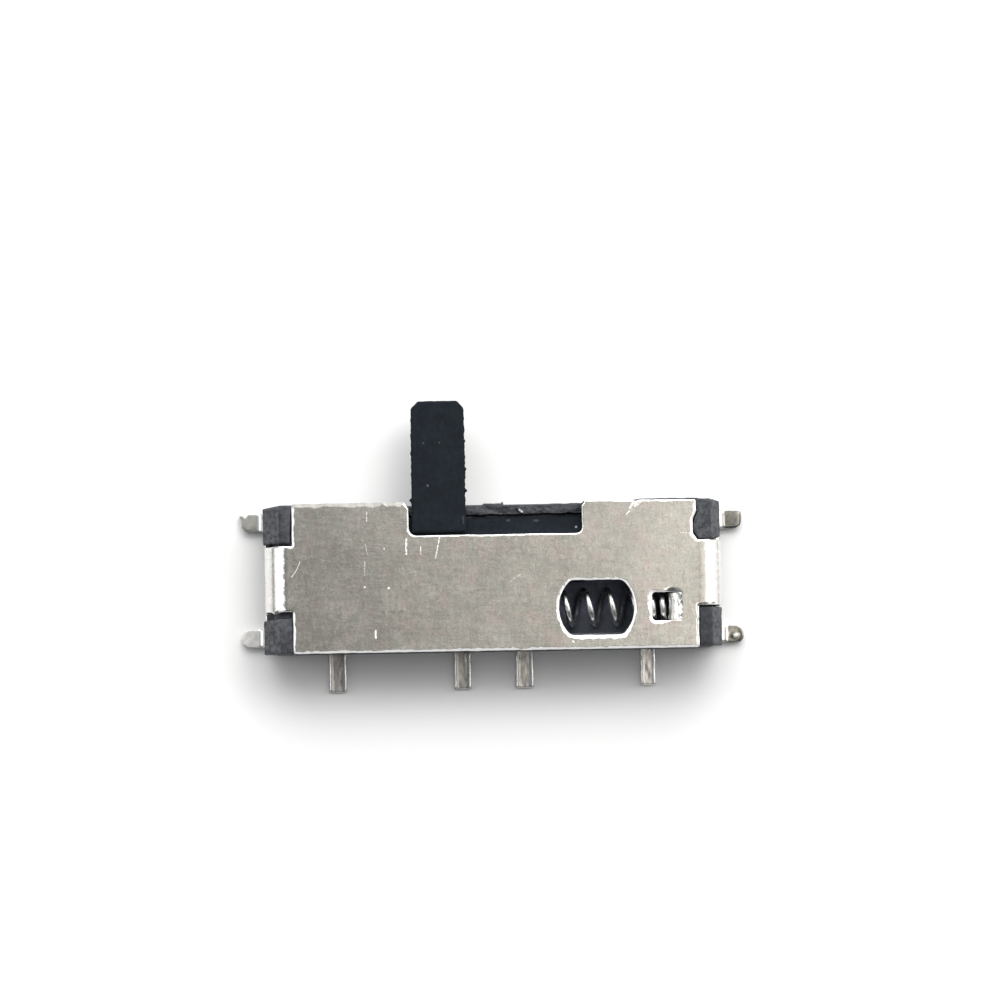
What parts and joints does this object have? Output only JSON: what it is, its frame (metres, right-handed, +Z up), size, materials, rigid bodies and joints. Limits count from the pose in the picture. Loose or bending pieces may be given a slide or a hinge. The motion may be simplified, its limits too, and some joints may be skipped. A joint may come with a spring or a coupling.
{
  "type": "slide switch",
  "caption": "Surface-mount side-actuated slide switch with a long lever, folded metal cover, solder feet and a spring that returns the slider to one end.",
  "frame": {"origin": "middle of the base's underside between its end faces and between its front and rear walls, in the plane of the circuit board", "axes": "+X along the switch, the way the lever is pushed; +Y out along the lever; +Z up from the board, out of the cover"},
  "size_m": [0.012, 0.0069, 0.0018],
  "materials": {
    "black_moulding": "heat-resistant black moulding, matt, slightly grey in the light",
    "nickel_sheet": "nickel-plated rolled sheet, satin, with fine scratches and bright sheared edges",
    "black_slider": "black moulding, matt, with a little flash along the parting line",
    "contact_bronze": "phosphor bronze spring sheet",
    "spring_steel": "dark drawn spring wire",
    "terminal_plating": "silver-plated copper alloy, satin"
  },
  "bodies": {
    "housing": {"base_housing": "black_moulding", "metal_cover": "nickel_sheet", "return_spring": "spring_steel", "terminal_1": "terminal_plating", "terminal_2": "terminal_plating", "terminal_3": "terminal_plating", "terminal_4": "terminal_plating"},
    "slider": {"slider_lever": "black_slider", "contact_clip": "contact_bronze"}
  },
  "joints": [
    {"name": "slider_travel", "type": "slide", "parent": "housing", "child": "slider", "axis": [1, 0, 0], "range_m": [0, 0.0027], "stiffness_N_per_m": 500, "deforming": ["return_spring"]}
  ]
}
